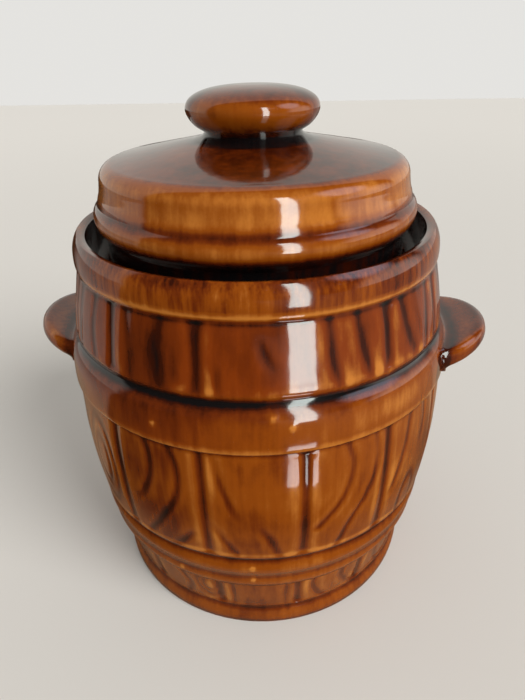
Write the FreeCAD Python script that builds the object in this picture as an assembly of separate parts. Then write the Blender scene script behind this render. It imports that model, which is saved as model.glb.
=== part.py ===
"""Barrel-shaped stoneware fermentation crock: a pot with a water-seal gutter, and its lid.

The origin is on the floor, at the centre of the base. +Z is up, and the two ears lie on the X axis.
All sizes are in millimetres and all angles in degrees. A radius is measured from the crock's axis.
"""
import FreeCAD, Part
import math
import os

# Heights of the bands of the barrel, stacked from the floor up.
FOOT_HEIGHT = 9.5
FOOT_GROOVE_HEIGHT = 3.5
FOOT_PANEL_HEIGHT = 24.0
LOW_HOOP_HEIGHT = 21.5
LOW_GROOVE_HEIGHT = 5.2
MAIN_PANEL_HEIGHT = 65.8
MID_HOOP_HEIGHT = 21.0
MID_GROOVE_HEIGHT = 5.5
UPPER_PANEL_HEIGHT = 30.3
RIM_HEIGHT = 15.2

# The barrel's bow: its radius at the floor, at its widest and under the rim, and how it fills out.
BASE_RADIUS = 87.0
BELLY_RADIUS = 100.7
NECK_RADIUS = 90.2
BELLY_ABOVE_LOW_GROOVE = 36.3
LOWER_BOW = 1.6
UPPER_BOW = 2.0

# How far each band stands out from the bow, or lies in from it.
FOOT_RISE = 2.4
FOOT_PANEL_INSET = 2.0
LOW_HOOP_RISE = 0.5
MID_HOOP_RISE = 2.0
RIM_RISE = 0.8
FOOT_GROOVE_DEPTH = 0.6
GROOVE_DEPTH = 1.6

# Outlines of the bands, from low to high. Each pair is how far the point lies in from the band's
# full radius, and its share of the band's height.
FOOT_SHAPE = ((1.0, 0.0), (0.0, 0.5), (1.6, 1.0))
LOW_HOOP_SHAPE = ((1.2, 0.02), (0.0, 0.24), (1.0, 0.47), (0.0, 0.75), (1.4, 1.0))
MID_HOOP_SHAPE = ((1.3, 0.01), (0.4, 0.1), (0.0, 0.62), (0.5, 0.88), (2.0, 1.0))
RIM_SHAPE = ((0.5, 0.03), (0.0, 0.25), (0.5, 0.62), (2.2, 0.9), (4.0, 1.0))
RIM_INNER_DROP = 1.4

# Walls of the pot.
WALL = 7.5
FLOOR_THICKNESS = 9.0
FLOOR_ROUNDING = 14.0
FOOT_RING_WIDTH = 9.0
FOOT_RING_DEPTH = 1.5

# The gutter that holds the sealing water, and the collar round the mouth inside it.
RIM_WALL = 7.2
GUTTER_WIDTH = 17.6
GUTTER_DEPTH = 19.5
GUTTER_FLOOR = 8.0
COLLAR_WALL = 6.0
COLLAR_BELOW_RIM = 5.5
SHOULDER_ROUNDING = 10.0

# Joints between the staves: the first one past an ear, then the widths of the staves over half the
# barrel. The other half repeats them.
FIRST_JOINT = 3.0
STAVE_ANGLES = (25.5, 25.5, 26.5, 26.5, 24.0, 25.5, 26.5)
JOINT_DEPTH = 1.3
JOINT_ROUND = 2.1
JOINT_OVERRUN = 1.5
JOINT_STOP = 0.6

# Ears: half-oval ledges that grow out of the middle hoop and rise outwards.
EAR_PROJECTION = 22.0
EAR_SPAN = 68.0
EAR_SINK = 8.0
EAR_THICKNESS = 10.0
EAR_EDGE_ROUND = 4.4
EAR_TILT = 16.0

# Lid: a skirt in the gutter, a bead over the rim, an upright tier, a low cone and a knob.
SKIRT_CLEARANCE = 2.0
SKIRT_WALL = 5.6
SKIRT_CHAMFER = 1.2
BEAD_OVERHANG = 4.7
BEAD_HEIGHT = 12.2
BEAD_UNDERCUT = 2.2
BEAD_SHAPE = ((2.6, 0.0), (0.9, 0.22), (0.0, 0.55), (0.8, 0.82), (2.7, 1.0))
TIER_STEP = 3.2
TIER_HEIGHT = 10.0
TIER_TAPER = 1.7
TIER_EASE = 2.6
LID_SHOULDER = 7.5
CONE_RISE = 8.4
LID_WALL = 7.0
KNOB_RADIUS = 31.1
KNOB_NECK_RADIUS = 22.9
KNOB_LOWER_HEIGHT = 17.8
KNOB_LOWER_FULLNESS = 1.6
KNOB_UPPER_HEIGHT = 10.3
KNOB_UPPER_FULLNESS = 2.5
KNOB_LIFT = 9.1
NECK_FLARE = 6.0
NECK_HEIGHT = 2.2

DIAGONAL = math.sqrt(0.5)
ORIGIN = FreeCAD.Vector(0, 0, 0)
UP = FreeCAD.Vector(0, 0, 1)

# Levels and radii worked out from the sizes above.
foot_panel_low = FOOT_HEIGHT + FOOT_GROOVE_HEIGHT
low_hoop_low = foot_panel_low + FOOT_PANEL_HEIGHT
low_hoop_high = low_hoop_low + LOW_HOOP_HEIGHT
main_panel_low = low_hoop_high + LOW_GROOVE_HEIGHT
mid_hoop_low = main_panel_low + MAIN_PANEL_HEIGHT
mid_hoop_high = mid_hoop_low + MID_HOOP_HEIGHT
upper_panel_low = mid_hoop_high + MID_GROOVE_HEIGHT
rim_low = upper_panel_low + UPPER_PANEL_HEIGHT
rim_top = rim_low + RIM_HEIGHT
belly_height = main_panel_low + BELLY_ABOVE_LOW_GROOVE
gutter_floor = rim_top - GUTTER_DEPTH
collar_top = rim_top - COLLAR_BELOW_RIM
above_rim = rim_top + RIM_HEIGHT


def bow(height):
    """Radius of the plain barrel at a height."""
    if height < belly_height:
        share = (belly_height - height) / belly_height
        return BELLY_RADIUS - (BELLY_RADIUS - BASE_RADIUS) * share ** LOWER_BOW
    share = (height - belly_height) / (rim_low - belly_height)
    return BELLY_RADIUS - (BELLY_RADIUS - NECK_RADIUS) * share ** UPPER_BOW


rim_outer = bow(rim_low) + RIM_RISE
rim_inner = rim_outer - RIM_WALL
collar_outer = rim_inner - GUTTER_WIDTH
mouth_radius = collar_outer - COLLAR_WALL
foot_outer = bow(0) + FOOT_RISE
foot_ring_inner = foot_outer - FOOT_RING_WIDTH
skirt_inner = collar_outer + SKIRT_CLEARANCE
skirt_outer = skirt_inner + SKIRT_WALL
bead_radius = skirt_outer + BEAD_OVERHANG
tier_radius = bead_radius - TIER_STEP
cone_radius = tier_radius - TIER_TAPER - LID_SHOULDER
bead_high = rim_top + BEAD_HEIGHT
tier_high = bead_high + TIER_HEIGHT


class Outline:
    """A closed outline of (radius, height) points, joined by lines, arcs and smooth curves."""

    def __init__(self, radius, height):
        self.first = FreeCAD.Vector(radius, 0, height)
        self.last = self.first
        self.edges = []

    def line(self, radius, height):
        end = FreeCAD.Vector(radius, 0, height)
        self.edges.append(Part.LineSegment(self.last, end).toShape())
        self.last = end

    def arc(self, through, end):
        middle, finish = FreeCAD.Vector(through[0], 0, through[1]), FreeCAD.Vector(end[0], 0, end[1])
        self.edges.append(Part.Arc(self.last, middle, finish).toShape())
        self.last = finish

    def curve(self, points):
        path = [self.last] + [FreeCAD.Vector(radius, 0, height) for radius, height in points]
        spline = Part.BSplineCurve()
        spline.interpolate(path)
        self.edges.append(spline.toShape())
        self.last = path[-1]

    def revolve(self):
        """Close the outline and turn it round the crock's axis into a solid."""
        self.line(self.first.x, self.first.z)
        return Part.Face(Part.Wire(self.edges)).revolve(ORIGIN, UP, 360)


def panel_points(low, high, offset, count):
    """Points up a panel that follows the bow, moved out by an offset."""
    heights = [low + (high - low) * index / count for index in range(1, count + 1)]
    return [(bow(height) + offset, height) for height in heights]


def band_points(low, height, full_radius, shape):
    """Points of a band's outline. The full radius is a function of height."""
    levels = [low + height * share for inward, share in shape]
    return [(full_radius(level) - pair[0], level) for level, pair in zip(levels, shape)]


def add_band(outline, low, height, full_radius, shape):
    """Step out to a band's lower edge, then follow its outline."""
    points = band_points(low, height, full_radius, shape)
    outline.line(*points[0])
    outline.curve(points[1:])


def add_groove(outline, low, high):
    """Hollow groove on the top side of a hoop, where the glaze pools."""
    middle = (low + high) / 2
    outline.arc((bow(middle) - GROOVE_DEPTH, middle), (bow(high), high))


def barrel_outside():
    """Solid barrel with its foot, panels, hoops, grooves and rim band."""
    groove_middle = FOOT_HEIGHT + FOOT_GROOVE_HEIGHT / 2
    outline = Outline(0, FOOT_RING_DEPTH)
    outline.line(foot_ring_inner - FOOT_RING_DEPTH, FOOT_RING_DEPTH)
    outline.line(foot_ring_inner, 0)
    add_band(outline, 0, FOOT_HEIGHT, lambda height: foot_outer, FOOT_SHAPE)
    outline.curve([(bow(groove_middle) - FOOT_PANEL_INSET - FOOT_GROOVE_DEPTH, groove_middle),
                   (bow(foot_panel_low) - FOOT_PANEL_INSET, foot_panel_low)])
    outline.curve(panel_points(foot_panel_low, low_hoop_low, -FOOT_PANEL_INSET, 3))
    add_band(outline, low_hoop_low, LOW_HOOP_HEIGHT,
             lambda height: bow(height) + LOW_HOOP_RISE, LOW_HOOP_SHAPE)
    add_groove(outline, low_hoop_high, main_panel_low)
    outline.curve(panel_points(main_panel_low, mid_hoop_low, 0, 5))
    add_band(outline, mid_hoop_low, MID_HOOP_HEIGHT,
             lambda height: bow(height) + MID_HOOP_RISE, MID_HOOP_SHAPE)
    add_groove(outline, mid_hoop_high, upper_panel_low)
    outline.curve(panel_points(upper_panel_low, rim_low, 0, 4))
    add_band(outline, rim_low, RIM_HEIGHT, lambda height: rim_outer,
             RIM_SHAPE + ((RIM_WALL, 1 - RIM_INNER_DROP / RIM_HEIGHT),))
    outline.line(0, rim_top - RIM_INNER_DROP)
    return outline.revolve()


def pot_hollow():
    """Inside of the pot, from its rounded floor to the mouth inside the collar."""
    ceiling = gutter_floor - GUTTER_FLOOR
    wall_low = FLOOR_THICKNESS + FLOOR_ROUNDING
    wall_high = ceiling - SHOULDER_ROUNDING
    low_radius = bow(wall_low) - FOOT_PANEL_INSET - WALL
    floor_radius = low_radius - FLOOR_ROUNDING
    ceiling_radius = bow(wall_high) - WALL - SHOULDER_ROUNDING
    outline = Outline(0, FLOOR_THICKNESS)
    outline.line(floor_radius, FLOOR_THICKNESS)
    outline.arc((floor_radius + FLOOR_ROUNDING * DIAGONAL, wall_low - FLOOR_ROUNDING * DIAGONAL),
                (low_radius, wall_low))
    outline.curve([(bow(main_panel_low) - WALL, main_panel_low)]
                  + panel_points(main_panel_low, wall_high, -WALL, 6))
    outline.arc((ceiling_radius + SHOULDER_ROUNDING * DIAGONAL,
                 wall_high + SHOULDER_ROUNDING * DIAGONAL), (ceiling_radius, ceiling))
    outline.line(mouth_radius, ceiling)
    outline.line(mouth_radius, above_rim)
    outline.line(0, above_rim)
    return outline.revolve()


def gutter_hollow():
    """Open space above the gutter's floor and above the collar's rounded top."""
    collar_middle = (mouth_radius + collar_outer) / 2
    collar_edge = collar_top - COLLAR_WALL / 2
    outline = Outline(rim_inner, gutter_floor)
    outline.line(rim_inner, above_rim)
    outline.line(0, above_rim)
    outline.line(0, collar_edge)
    outline.line(mouth_radius, collar_edge)
    outline.arc((collar_middle, collar_top), (collar_outer, collar_edge))
    outline.line(collar_outer, gutter_floor)
    return outline.revolve()


def joint_cutter(low, high, offset, angle):
    """Round bar that follows a panel at one angle, to cut the joint between two staves."""
    centre = offset + JOINT_ROUND - JOINT_DEPTH
    heights = [low + (high - low) * index / 4 for index in range(5)]
    points = [FreeCAD.Vector(bow(height) + centre, 0, height) for height in heights]
    path = Part.BSplineCurve()
    path.interpolate(points)
    direction = path.tangent(path.FirstParameter)[0]
    section = Part.Wire(Part.Circle(points[0], direction, JOINT_ROUND).toShape())
    bar = Part.Wire(path.toShape()).makePipeShell([section], True, True)
    bar.rotate(ORIGIN, UP, angle)
    return bar


def stave_joints():
    """Cutters for every joint in the three panels, the same on both halves of the barrel."""
    panels = ((foot_panel_low, low_hoop_low, -FOOT_PANEL_INSET),
              (main_panel_low, mid_hoop_low, 0),
              (upper_panel_low, rim_low, 0))
    cutters = []
    for half in (0, 180):
        angle = half + FIRST_JOINT
        for width in STAVE_ANGLES:
            for low, high, offset in panels:
                cutters.append(joint_cutter(low - JOINT_OVERRUN, high - JOINT_STOP, offset, angle))
            angle += width
    return cutters


def ear(turn):
    """One ear: a half-oval slab with a rounded edge, tilted up and turned to its side."""
    hoop_middle = (mid_hoop_low + mid_hoop_high) / 2
    root = bow(hoop_middle) + MID_HOOP_RISE
    middle = FreeCAD.Vector(root - EAR_SINK, 0, hoop_middle - EAR_THICKNESS / 2)
    across = middle + FreeCAD.Vector(0, EAR_SPAN / 2, 0)
    outwards = middle + FreeCAD.Vector(EAR_PROJECTION + EAR_SINK, 0, 0)
    oval = Part.Wire(Part.Ellipse(across, outwards, middle).toShape())
    slab = Part.Face(oval).extrude(UP * EAR_THICKNESS)
    edges = [edge for edge in slab.Edges if isinstance(edge.Curve, Part.Ellipse)]
    slab = slab.makeFillet(EAR_EDGE_ROUND, edges)
    slab.rotate(FreeCAD.Vector(root, 0, hoop_middle), FreeCAD.Vector(0, 1, 0), -EAR_TILT)
    slab.rotate(ORIGIN, UP, turn)
    return slab


def make_pot():
    """Pot: barrel and ears in one piece, hollowed, with the gutter round its mouth."""
    body = barrel_outside().cut(stave_joints())
    body = body.fuse([ear(0), ear(180)])
    return body.cut([pot_hollow(), gutter_hollow()])


def cone_height(radius):
    """Height of the lid's low cone at a radius."""
    slope = CONE_RISE / (cone_radius - KNOB_NECK_RADIUS)
    return tier_high + LID_SHOULDER + slope * (cone_radius - radius)


def knob_point(angle):
    """Point of the knob's outline at an angle above its widest line. An oval has a fullness of 2."""
    above = angle > 0
    half_height = KNOB_UPPER_HEIGHT if above else -KNOB_LOWER_HEIGHT
    power = 2 / (KNOB_UPPER_FULLNESS if above else KNOB_LOWER_FULLNESS)
    turn = math.radians(abs(angle))
    widest = cone_height(KNOB_NECK_RADIUS) + NECK_HEIGHT + KNOB_LIFT
    return (KNOB_RADIUS * math.cos(turn) ** power, widest + half_height * math.sin(turn) ** power)


def add_lid_underside(outline):
    """Underside of the lid: flat below the knob, then along the cone and down into the skirt."""
    ceiling_radius = skirt_inner - LID_SHOULDER
    ceiling = cone_height(ceiling_radius) - LID_WALL
    outline.line(KNOB_NECK_RADIUS, cone_height(KNOB_NECK_RADIUS) - LID_WALL)
    outline.line(ceiling_radius, ceiling)
    outline.arc((ceiling_radius + LID_SHOULDER * DIAGONAL, ceiling - LID_SHOULDER * (1 - DIAGONAL)),
                (skirt_inner, ceiling - LID_SHOULDER))
    outline.line(skirt_inner, gutter_floor + SKIRT_CHAMFER)
    outline.line(skirt_inner + SKIRT_CHAMFER, gutter_floor)


def add_lid_outside(outline):
    """Outside of the lid, from the foot of its skirt up to the neck of the knob."""
    flare = KNOB_NECK_RADIUS + NECK_FLARE
    neck = cone_height(KNOB_NECK_RADIUS)
    outline.line(skirt_outer - SKIRT_CHAMFER, gutter_floor)
    outline.line(skirt_outer, gutter_floor + SKIRT_CHAMFER)
    outline.line(skirt_outer, rim_top - BEAD_UNDERCUT)
    add_band(outline, rim_top, BEAD_HEIGHT, lambda height: bead_radius, BEAD_SHAPE)
    outline.line(tier_radius, bead_high + TIER_EASE)
    outline.line(tier_radius - TIER_TAPER, tier_high)
    outline.arc((cone_radius + LID_SHOULDER * DIAGONAL, tier_high + LID_SHOULDER * DIAGONAL),
                (cone_radius, cone_height(cone_radius)))
    outline.line(flare, cone_height(flare))
    outline.curve([(KNOB_NECK_RADIUS + NECK_FLARE / 4, neck + NECK_HEIGHT / 5),
                   (KNOB_NECK_RADIUS, neck + NECK_HEIGHT)])


def make_lid():
    """Lid in one piece, hollow underneath, with a solid knob."""
    outline = Outline(0, cone_height(KNOB_NECK_RADIUS) - LID_WALL)
    add_lid_underside(outline)
    add_lid_outside(outline)
    outline.curve([knob_point(angle) for angle in (-26, -14, 0, 12, 26, 42, 58, 74, 90)])
    return outline.revolve()


os.makedirs("parts", exist_ok=True)
for node, shape in (("pot", make_pot()), ("lid", make_lid())):
    shape.Solids[0].exportStep("parts/" + node + ".step")
    print(node, "solids", len(shape.Solids), "litres of clay", round(shape.Volume / 1e6, 3))
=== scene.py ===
"""Looks of a barrel-shaped stoneware fermentation crock: carved staves under a honey-brown glaze.

Heights and radii are in metres and angles in degrees. A bearing is an angle round the crock: 0 is the
front, on -Y, and 90 is the right ear, on +X.
"""
import math
from collections import namedtuple
from functools import partial

import bmesh
import bpy
import numpy as np
from mathutils import Matrix, Vector


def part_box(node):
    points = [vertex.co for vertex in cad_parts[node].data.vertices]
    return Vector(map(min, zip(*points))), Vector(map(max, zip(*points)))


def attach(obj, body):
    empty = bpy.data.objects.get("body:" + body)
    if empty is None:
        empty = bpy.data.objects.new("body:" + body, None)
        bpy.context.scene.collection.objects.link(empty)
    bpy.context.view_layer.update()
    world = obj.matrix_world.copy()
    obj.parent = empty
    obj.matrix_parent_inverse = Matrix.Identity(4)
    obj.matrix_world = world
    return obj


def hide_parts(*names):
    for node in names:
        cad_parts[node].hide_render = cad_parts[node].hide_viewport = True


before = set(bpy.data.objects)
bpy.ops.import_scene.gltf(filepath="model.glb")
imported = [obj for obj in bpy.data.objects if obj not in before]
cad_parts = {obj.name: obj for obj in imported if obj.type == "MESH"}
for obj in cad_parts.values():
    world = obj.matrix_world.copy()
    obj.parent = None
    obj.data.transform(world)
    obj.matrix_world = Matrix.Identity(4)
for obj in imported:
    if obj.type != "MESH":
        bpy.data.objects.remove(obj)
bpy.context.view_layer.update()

bl_info = {
    "name": "Barrel Fermentation Crock",
    "version": (1, 0, 0),
    "blender": (4, 5, 0),
    "location": "3D View > Sidebar > Crock",
    "description": "Builds the carved, glazed pot, its lid, and the stage they are shown on",
    "category": "Add Mesh",
}

MM = 0.001
BODY = "root"
LID_LOW, LID_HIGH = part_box("lid")

# Levels of the pot's bands, from the floor up.
FOOT_HIGH = 9.5 * MM
FOOT_PANEL_LOW = 13.0 * MM
LOW_HOOP_LOW = 37.0 * MM
LOW_HOOP_HIGH = 58.5 * MM
MAIN_PANEL_LOW = 63.7 * MM
MID_HOOP_LOW = 129.5 * MM
MID_HOOP_HIGH = 150.5 * MM
UPPER_PANEL_LOW = 156.0 * MM
RIM_LOW = 186.3 * MM
RIM_HIGH = 201.5 * MM

# The barrel's bow.
BASE_RADIUS = 87.0 * MM
BELLY_RADIUS = 100.7 * MM
NECK_RADIUS = 90.2 * MM
BELLY_HEIGHT = 100.0 * MM
LOWER_BOW = 1.6
UPPER_BOW = 2.0

# Outlines of the bands: how far each point lies in from the band's full radius, in millimetres, and
# its share of the band's height.
FOOT_RISE = 2.4 * MM
FOOT_PANEL_INSET = 2.0 * MM
LOW_HOOP_RISE = 0.5 * MM
MID_HOOP_RISE = 2.0 * MM
RIM_RISE = 0.8 * MM
FOOT_GROOVE_DEPTH = 0.6 * MM
GROOVE_DEPTH = 1.6 * MM
FOOT_SHAPE = ((1.0, 0.0), (0.0, 0.5), (1.6, 1.0))
LOW_HOOP_SHAPE = ((1.2, 0.02), (0.0, 0.24), (1.0, 0.47), (0.0, 0.75), (1.4, 1.0))
MID_HOOP_SHAPE = ((1.3, 0.01), (0.4, 0.1), (0.0, 0.62), (0.5, 0.88), (2.0, 1.0))
RIM_SHAPE = ((0.5, 0.03), (0.0, 0.25), (0.5, 0.62), (2.2, 0.9), (4.0, 1.0), (7.2, 0.91))

# The pot's inside: gutter, collar, hollow and the ring it stands on.
GUTTER_OUTER = 83.8 * MM
GUTTER_FLOOR = LID_LOW.z
GUTTER_WALL = 12.0 * MM
COLLAR_OUTER = 66.2 * MM
COLLAR_HIGH = 196.0 * MM
MOUTH_RADIUS = 60.2 * MM
CEILING = 174.0 * MM
SHOULDER_ROUNDING = 10.0 * MM
WALL = 7.5 * MM
FLOOR_HEIGHT = 9.0 * MM
FLOOR_ROUNDING = 14.0 * MM
FOOT_RING_INNER = 80.4 * MM
FOOT_RING_DEPTH = 1.5 * MM

# Ears: half-oval ledges, measured in their own plane before it is tilted up.
EAR_ROOT = 100.44 * MM
EAR_HEIGHT = 140.0 * MM
EAR_SINK = 8.0 * MM
EAR_PROJECTION = 22.0 * MM
EAR_HALF_SPAN = 34.0 * MM
EAR_HALF_THICKNESS = 5.0 * MM
EAR_EDGE_ROUND = 4.4 * MM
EAR_TILT = math.radians(16)
EAR_FILLET = 3.0 * MM
EAR_HALF_TURN = math.radians(19.6)
EAR_COLUMNS = 72
EAR_HIDDEN = 3.0 * MM
EAR_LEAST_REACH = 0.4 * MM

# Lid.
SKIRT_INNER = 68.2 * MM
SKIRT_OUTER = 73.8 * MM
SKIRT_CHAMFER = 1.2 * MM
BEAD_RADIUS = 78.5 * MM
BEAD_HEIGHT = 12.2 * MM
BEAD_UNDERCUT = 2.2 * MM
BEAD_SHAPE = ((2.6, 0.0), (0.9, 0.22), (0.0, 0.55), (0.8, 0.82), (2.7, 1.0))
TIER_RADIUS = 75.3 * MM
TIER_HEIGHT = 10.0 * MM
TIER_TAPER = 1.7 * MM
TIER_EASE = 2.6 * MM
LID_SHOULDER = 7.5 * MM
CONE_RISE = 8.4 * MM
LID_WALL = 7.0 * MM
KNOB_RADIUS = 31.1 * MM
KNOB_NECK = 22.9 * MM
KNOB_LOWER = 17.8 * MM
KNOB_LOWER_FULLNESS = 1.6
KNOB_UPPER = 10.3 * MM
KNOB_UPPER_FULLNESS = 2.5
KNOB_ANGLES = (-26, -14, 0, 12, 26, 42, 58, 74, 87)
NECK_FLARE = 6.0 * MM
NECK_HEIGHT = 2.2 * MM
BEAD_HIGH = RIM_HIGH + BEAD_HEIGHT
TIER_HIGH = BEAD_HIGH + TIER_HEIGHT
CONE_RADIUS = TIER_RADIUS - TIER_TAPER - LID_SHOULDER

# Meshes: points round the fine outside of each piece, of which the hidden inside has a quarter.
POT_SEGMENTS = 500
LID_SEGMENTS = 320
RING_SPACING = 1.3 * MM
BAND_SPACING = 1.6 * MM
INSIDE_SPACING = 6.0 * MM

# Staves over half the barrel, from the left ear round the front to the right ear.
FIRST_JOINT = -87.0
STAVE_WIDTHS = (25.5, 25.5, 26.5, 26.5, 24.0, 25.5, 26.5)

Grain = namedtuple("Grain", "path depth width stain low_fade high_fade")
Knot = namedtuple("Knot", "across up half_width half_height rings")


def grain(*path, depth=0.36, width=1.6, stain=0.64, low_fade=0.0, high_fade=0.0):
    """One carved grain line. Its path has percents of the stave's width and of the panel's height, from
    high to low. Depth and width are in millimetres, stain is how dark the glaze has pooled in it, and
    each fade is the share of the line that runs out."""
    return Grain(path, depth, width, stain, low_fade, high_fade)


upper_grain = partial(grain, depth=0.26, width=1.8, stain=0.8)


# Carving of the seven staves of the front half in each panel. The back half repeats them turned over.
# A knot has its place and half its size in percents too.
MAIN_CARVING = (
    (grain((50, 100), (58, 72), (40, 42), (10, 15)),
     grain((86, 100), (88, 70), (72, 38), (50, 0)),
     grain((20, 100), (22, 82), (12, 62), low_fade=0.4)),
    (Knot(60, 52, 25, 40, 2),
     grain((16, 100), (10, 60), (20, 25), (34, 0), depth=0.3)),
    (grain((40, 100), (45.5, 86), (44, 70), (37, 57), (25, 43), (12, 36), low_fade=0.3),
     grain((68, 100), (75.5, 83), (75.5, 67), (68, 50), (56, 36), (41, 19), (26, 5)),
     grain((88, 27), (76, 14), (60, 0), high_fade=0.3, width=1.9)),
    (grain((12, 100), (17, 78), (26, 58), (36, 38), low_fade=0.35),
     grain((6, 40), (16, 22), (30, 5), depth=0.25, stain=0.55, high_fade=0.4),
     grain((54, 38), (65, 22), (76, 0), high_fade=0.35, width=1.7),
     grain((36, 96), (40, 82), (43, 70), depth=0.1, width=2.2, stain=0.3, low_fade=0.5, high_fade=0.3),
     grain((52, 96), (50, 82), (47, 70), depth=0.1, width=2.2, stain=0.3, low_fade=0.5, high_fade=0.3)),
    (grain((47, 100), (53.5, 84), (50, 66), (39, 48), (15, 28)),
     grain((83, 100), (87, 84), (83.5, 65), (71, 44), (54, 24), (41, 0))),
    (grain((37, 100), (31, 74), (21, 50), (9, 27), low_fade=0.2),
     grain((66, 100), (68, 80), (60, 58), depth=0.4, low_fade=0.4),
     Knot(51, 12, 14, 24, 1)),
    (grain((45, 100), (50, 75), (62, 45), (86, 20)),
     grain((14, 100), (12, 72), (24, 40), (48, 0)),
     grain((78, 100), (80, 80), (90, 60), low_fade=0.4)),
)
UPPER_CARVING = (
    (upper_grain((30, 100), (36, 50), (44, 0), width=2.2),
     upper_grain((66, 100), (72, 50), (84, 0))),
    (upper_grain((34, 100), (26, 50), (28, 0), width=2.1),
     upper_grain((70, 100), (64, 50), (70, 0))),
    (upper_grain((22, 100), (26, 50), (28, 0), depth=0.2, width=2.6, stain=0.4),
     upper_grain((66, 100), (58.5, 50), (64, 0), depth=0.2, width=2.8, stain=0.4)),
    (upper_grain((14, 50), (20, 30), (20, 0), depth=0.2, width=1.6, stain=0.5, high_fade=0.5),
     upper_grain((58, 85), (66, 50), (76, 30), depth=0.18, width=1.9, stain=0.5, low_fade=0.4,
                 high_fade=0.4)),
    (upper_grain((27, 100), (29, 50), (38, 0), depth=0.14, width=1.9),
     upper_grain((60, 100), (65, 50), (77, 0), width=1.9)),
    (upper_grain((22, 100), (31, 50), (45, 0), width=2.2),
     upper_grain((74, 100), (72, 50), (66, 0), width=1.7)),
    (upper_grain((30, 100), (40, 50), (42, 0), width=2.2),
     upper_grain((72, 100), (70, 50), (78, 0), width=1.9)),
)
FOOT_CARVING = (
    (grain((35, 100), (30, 60), (45, 0)), grain((70, 100), (72, 50), (80, 0))),
    (grain((30, 100), (42, 50), (35, 0)), grain((66, 100), (60, 40), (70, 0))),
    (Knot(86, 66, 16, 42, 2), grain((45, 100), (58, 50), (50, 0), depth=0.4)),
    (grain((16, 100), (18, 50), (16, 0), depth=0.5), grain((86, 100), (84, 0), depth=0.3)),
    (grain((25, 100), (21, 70), (29, 30), (42, 0), width=1.7),
     grain((66.7, 100), (66.7, 60), (79, 25), (92, 0), width=1.7)),
    (grain((30, 100), (34, 50), (50, 0)), grain((62, 100), (70, 50), (84, 0))),
    (grain((40, 100), (36, 50), (50, 0)), grain((74, 100), (78, 50), (72, 0))),
)
# Knots: depth and width of a ring's line, its stain, and how much smaller each further ring is.
KNOT_DEPTH = 0.3
KNOT_WIDTH = 1.3
KNOT_STAIN = 0.6
KNOT_STEP = 0.45
JOINT_DEPTH = 0.7
JOINT_WIDTH = 2.0
JOINT_STAIN = 0.82
# A joint widens towards its two ends, as shares of its width, and over how many millimetres.
JOINT_FLARES = (0.9, 0.5)
JOINT_FLARE_REACH = 3.0
# How much thinner the glaze lies on a stave's two edges, and how far from the joint in millimetres.
EDGE_THINNING = 0.2
EDGE_PLACE = 5.0
EDGE_REACH = 2.4
# Bearing of the upper joint that glaze has filled almost level, its reach and how full it is.
FILLED_JOINT = 17.0
FILLED_REACH = 6.0
FILLED_SHARE = 0.97
# Shoulders beside a carved line: how high they stand and how far out they lie, as shares of the line's
# depth and width.
SHOULDER_SHARE = 0.10
SHOULDER_PLACE = 2.1
SHOULDER_SPREAD = 1.1
# How far a stave's middle stands out from its edges, and over what distance, in millimetres.
CROWN = 0.25
CROWN_REACH = 7.0
# Small pimples on the hoops, as bearings and heights in millimetres, where the glaze is golden.
PIMPLES = ((-21, 140), (9, 147.5), (13.5, 143), (2.5, 55), (2.5, 45), (-20.5, 44), (-22.5, 36.5),
           (74, 141), (118, 138), (163, 145), (-96, 52), (-141, 143), (171, 47))
PIMPLE_HEIGHT = 0.4
PIMPLE_REACH = 1.3
PIMPLE_THINNING = 1.6
# Where glaze pools or thins, as a share of how thick it lies.
POOLING_SHARE = 0.42
POOLING_THINNED = 0.36


# ---- Shapes ----

def bow(height):
    """Radius of the plain barrel at a height."""
    below = np.clip((BELLY_HEIGHT - height) / BELLY_HEIGHT, 0, None)
    above = np.clip((height - BELLY_HEIGHT) / (RIM_LOW - BELLY_HEIGHT), 0, None)
    return (BELLY_RADIUS - (BELLY_RADIUS - BASE_RADIUS) * below ** LOWER_BOW
            - (BELLY_RADIUS - NECK_RADIUS) * above ** UPPER_BOW)


def ease(low, high, value):
    """Smooth step from 0 at low to 1 at high."""
    share = np.clip((value - low) / (high - low), 0, 1)
    return share * share * (3 - 2 * share)


def hump(centre, reach, value):
    """Soft hump that is 1 at its centre and falls away over its reach."""
    return np.exp(-((value - centre) / reach) ** 2)


def smooth_curve(points, spacing):
    """Points along a smooth curve through the given ones, about evenly spaced, without the first."""
    path = np.array(points, float)
    padded = np.vstack((2 * path[0] - path[1], path, 2 * path[-1] - path[-2]))
    dense = []
    for index in range(len(path) - 1):
        before, start, end, after = padded[index:index + 4]
        for step in np.linspace(0, 1, 24, endpoint=False):
            dense.append(0.5 * (2 * start + (end - before) * step
                                + (2 * before - 5 * start + 4 * end - after) * step ** 2
                                + (3 * start - before - 3 * end + after) * step ** 3))
    dense = np.array(dense + [path[-1]])
    length = np.concatenate(([0], np.cumsum(np.linalg.norm(np.diff(dense, axis=0), axis=1))))
    marks = np.linspace(0, length[-1], max(1, round(length[-1] / spacing)) + 1)[1:]
    return np.column_stack([np.interp(marks, length, dense[:, axis]) for axis in (0, 1)])


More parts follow.
